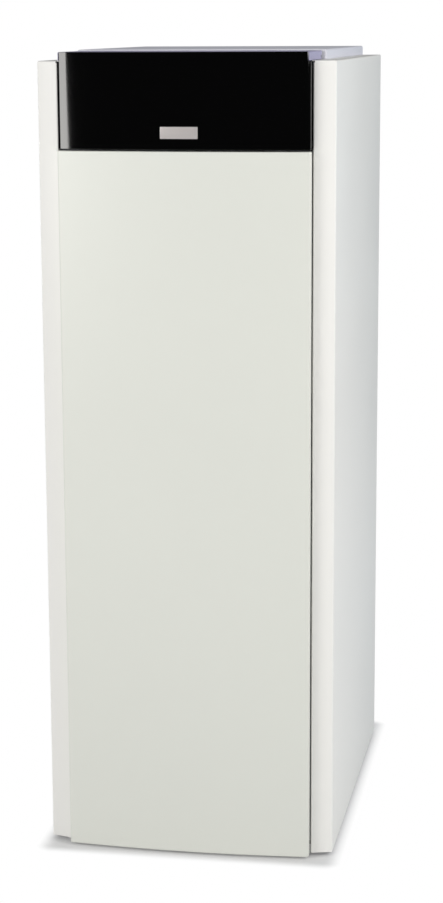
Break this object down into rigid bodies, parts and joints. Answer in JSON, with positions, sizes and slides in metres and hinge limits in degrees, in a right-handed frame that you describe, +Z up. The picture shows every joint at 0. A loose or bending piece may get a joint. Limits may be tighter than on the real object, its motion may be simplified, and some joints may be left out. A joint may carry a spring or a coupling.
{
  "type": "oil combi boiler",
  "caption": "Tall floor-standing oil combi boiler: white case with a hinged door, lift-up black fascia with grey hood, boiler, burner with fan and a hot water tank.",
  "frame": {"origin": "middle of the object's footprint, on the floor", "axes": "+Z up, -Y towards the front door, +X to the right when facing the door"},
  "size_m": [0.6, 0.88, 1.654],
  "materials": {
    "case_white": "satin white powder coat",
    "frame_zinc": "zinc plated sheet",
    "hood_grey": "satin lilac grey paint",
    "lid_grey": "satin light grey paint",
    "fascia_black": "glossy black",
    "badge_silver": "bare silver plate",
    "console_grey": "fine grained moulding",
    "knob_black": "matt black moulding",
    "switch_red": "glossy red moulding",
    "gauge_white": "smooth white moulding",
    "tank_foam": "blue foam jacket",
    "jacket_silver": "silver faced insulation jacket",
    "cast_iron": "dark painted casting",
    "flue_steel": "stainless tube",
    "burner_alloy": "die cast alloy",
    "motor_dark": "dark painted finned casting",
    "brass": "turned brass",
    "copper": "drawn copper tube",
    "vessel_red": "red enamel",
    "lever_red": "red dipped steel",
    "foot_black": "black foot"
  },
  "bodies": {
    "casing": {"side_panel_left": "case_white", "side_panel_right": "case_white", "rear_panel": "frame_zinc", "base_tray": "frame_zinc", "frame_post_left": "frame_zinc", "frame_post_right": "frame_zinc", "console_shelf": "frame_zinc", "hinge_bracket_lower": "frame_zinc", "hinge_bracket_upper": "frame_zinc", "door_catch": "knob_black", "control_housing": "console_grey", "control_panel": "console_grey", "display_window": "fascia_black", "gauge_body": "gauge_white", "stand_front": "frame_zinc", "stand_rear": "frame_zinc", "hot_water_tank": "tank_foam", "tank_cover": "cast_iron", "boiler_body": "jacket_silver", "boiler_front_plate": "cast_iron", "flue_outlet": "flue_steel", "burner_housing": "burner_alloy", "burner_motor": "motor_dark", "oil_pump": "burner_alloy", "burner_control": "console_grey", "blast_tube": "frame_zinc", "oil_filter": "brass", "oil_line": "copper", "oil_supply_pipe": "copper", "heating_pump": "cast_iron", "charging_pump": "cast_iron", "charge_pipe": "copper", "expansion_vessel": "vessel_red", "safety_valve": "brass", "flow_pipe": "copper", "return_pipe": "copper", "hot_water_pipe": "copper", "cold_water_pipe": "copper", "drain_cock": "brass", "cable_gland": "knob_black"},
    "door": {"front_door": "case_white", "hinge_lug_lower": "frame_zinc", "hinge_lug_upper": "frame_zinc"},
    "hood": {"fascia": "fascia_black", "console_hood": "hood_grey", "badge_plate": "badge_silver"},
    "lid": {"top_cover": "lid_grey"},
    "rocker": {"mains_switch": "switch_red"},
    "boiler_dial": {"boiler_knob": "knob_black"},
    "water_dial": {"hot_water_knob": "knob_black"},
    "button": {"reset_button": "switch_red"},
    "needle": {"gauge_needle": "switch_red"},
    "fan": {"fan_wheel": "frame_zinc"},
    "lever": {"drain_lever": "lever_red"},
    "foot_fl": {"foot_front_left": "foot_black"},
    "foot_fr": {"foot_front_right": "foot_black"},
    "foot_rl": {"foot_rear_left": "foot_black"},
    "foot_rr": {"foot_rear_right": "foot_black"}
  },
  "joints": [
    {"name": "door_hinge", "type": "hinge", "parent": "casing", "child": "door", "pos_m": [-0.2425, -0.4305, 0.18], "axis": [0, 0, -1], "range_deg": [0, 110]},
    {"name": "hood_hinge", "type": "hinge", "parent": "casing", "child": "hood", "pos_m": [0, -0.268, 1.64], "axis": [-1, 0, 0], "range_deg": [0, 85]},
    {"name": "lid_lift", "type": "slide", "parent": "casing", "child": "lid", "axis": [0, 0, 1], "range_m": [0, 0.25]},
    {"name": "rocker_tilt", "type": "hinge", "parent": "casing", "child": "rocker", "pos_m": [-0.1952, -0.4003, 1.5473], "axis": [-1, 0, 0], "range_deg": [0, 16]},
    {"name": "boiler_dial_turn", "type": "hinge", "parent": "casing", "child": "boiler_dial", "pos_m": [0.0244, -0.4003, 1.5473], "axis": [0, 1, 0], "range_deg": [0, 270]},
    {"name": "water_dial_turn", "type": "hinge", "parent": "casing", "child": "water_dial", "pos_m": [0.09516, -0.4003, 1.5473], "axis": [0, 1, 0], "range_deg": [0, 270]},
    {"name": "needle_turn", "type": "hinge", "parent": "casing", "child": "needle", "pos_m": [0.18056, -0.4046, 1.5473], "axis": [0, 1, 0], "range_deg": [0, 260]},
    {"name": "reset_press", "type": "slide", "parent": "casing", "child": "button", "axis": [0, 1, 0], "range_m": [0, 0.003], "stiffness_N_per_m": 400},
    {"name": "fan_spin", "type": "hinge", "parent": "casing", "child": "fan", "pos_m": [0.06, -0.24, 0.89], "axis": [1, 0, 0], "continuous": true},
    {"name": "drain_turn", "type": "hinge", "parent": "casing", "child": "lever", "pos_m": [-0.15, -0.1553, 0.615], "axis": [0, 0, 1], "range_deg": [0, 90]},
    {"name": "foot_fl_screw", "type": "slide", "parent": "casing", "child": "foot_fl", "axis": [0, 0, -1], "range_m": [0, 0.015]},
    {"name": "foot_fr_screw", "type": "slide", "parent": "casing", "child": "foot_fr", "axis": [0, 0, -1], "range_m": [0, 0.015]},
    {"name": "foot_rl_screw", "type": "slide", "parent": "casing", "child": "foot_rl", "axis": [0, 0, -1], "range_m": [0, 0.015]},
    {"name": "foot_rr_screw", "type": "slide", "parent": "casing", "child": "foot_rr", "axis": [0, 0, -1], "range_m": [0, 0.015]}
  ]
}
